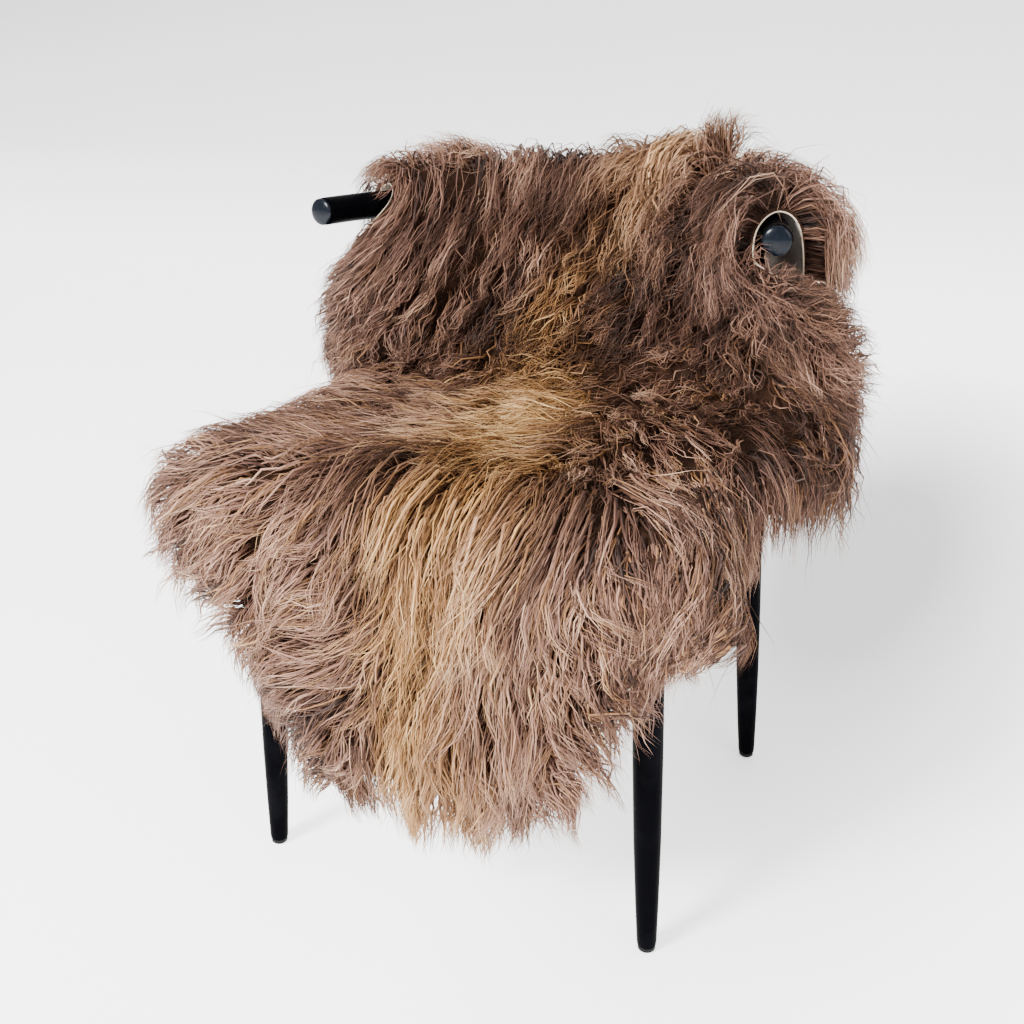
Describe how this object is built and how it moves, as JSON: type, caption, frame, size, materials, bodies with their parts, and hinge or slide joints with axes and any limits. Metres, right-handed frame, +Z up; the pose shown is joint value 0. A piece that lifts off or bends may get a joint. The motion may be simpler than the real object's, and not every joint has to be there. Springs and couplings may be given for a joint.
{
  "type": "sheepskin rug on a chair",
  "caption": "Long-haired brown sheepskin draped over a plain black chair with a bent round-bar back; it hangs over the seat's front and sides and behind the bar.",
  "frame": {"origin": "on the floor under the middle of the whole part", "axes": "+Z up, the chair faces -Y, +X to the right as seen from the front"},
  "size_m": [0.7662, 0.6528, 0.7953],
  "materials": {
    "wool": "long wavy wool, dark brown with a golden stripe along the spine",
    "black_lacquer": "satin black lacquer on turned and bent wood",
    "glide": "moulded black"
  },
  "bodies": {
    "root": {"sheepskin": "wool", "wool_front_hem": "wool", "wool_back_hem": "wool", "wool_left_1": "wool", "wool_left_2": "wool", "wool_left_3": "wool", "wool_left_4": "wool", "wool_left_5": "wool", "wool_right_1": "wool", "wool_right_2": "wool", "wool_right_3": "wool", "wool_right_4": "wool", "wool_right_5": "wool", "seat_board": "black_lacquer", "back_bar": "black_lacquer", "front_leg_left": "black_lacquer", "front_leg_right": "black_lacquer", "back_leg_left": "black_lacquer", "back_leg_right": "black_lacquer", "front_glide_left": "glide", "front_glide_right": "glide", "back_glide_left": "glide", "back_glide_right": "glide"}
  },
  "joints": []
}
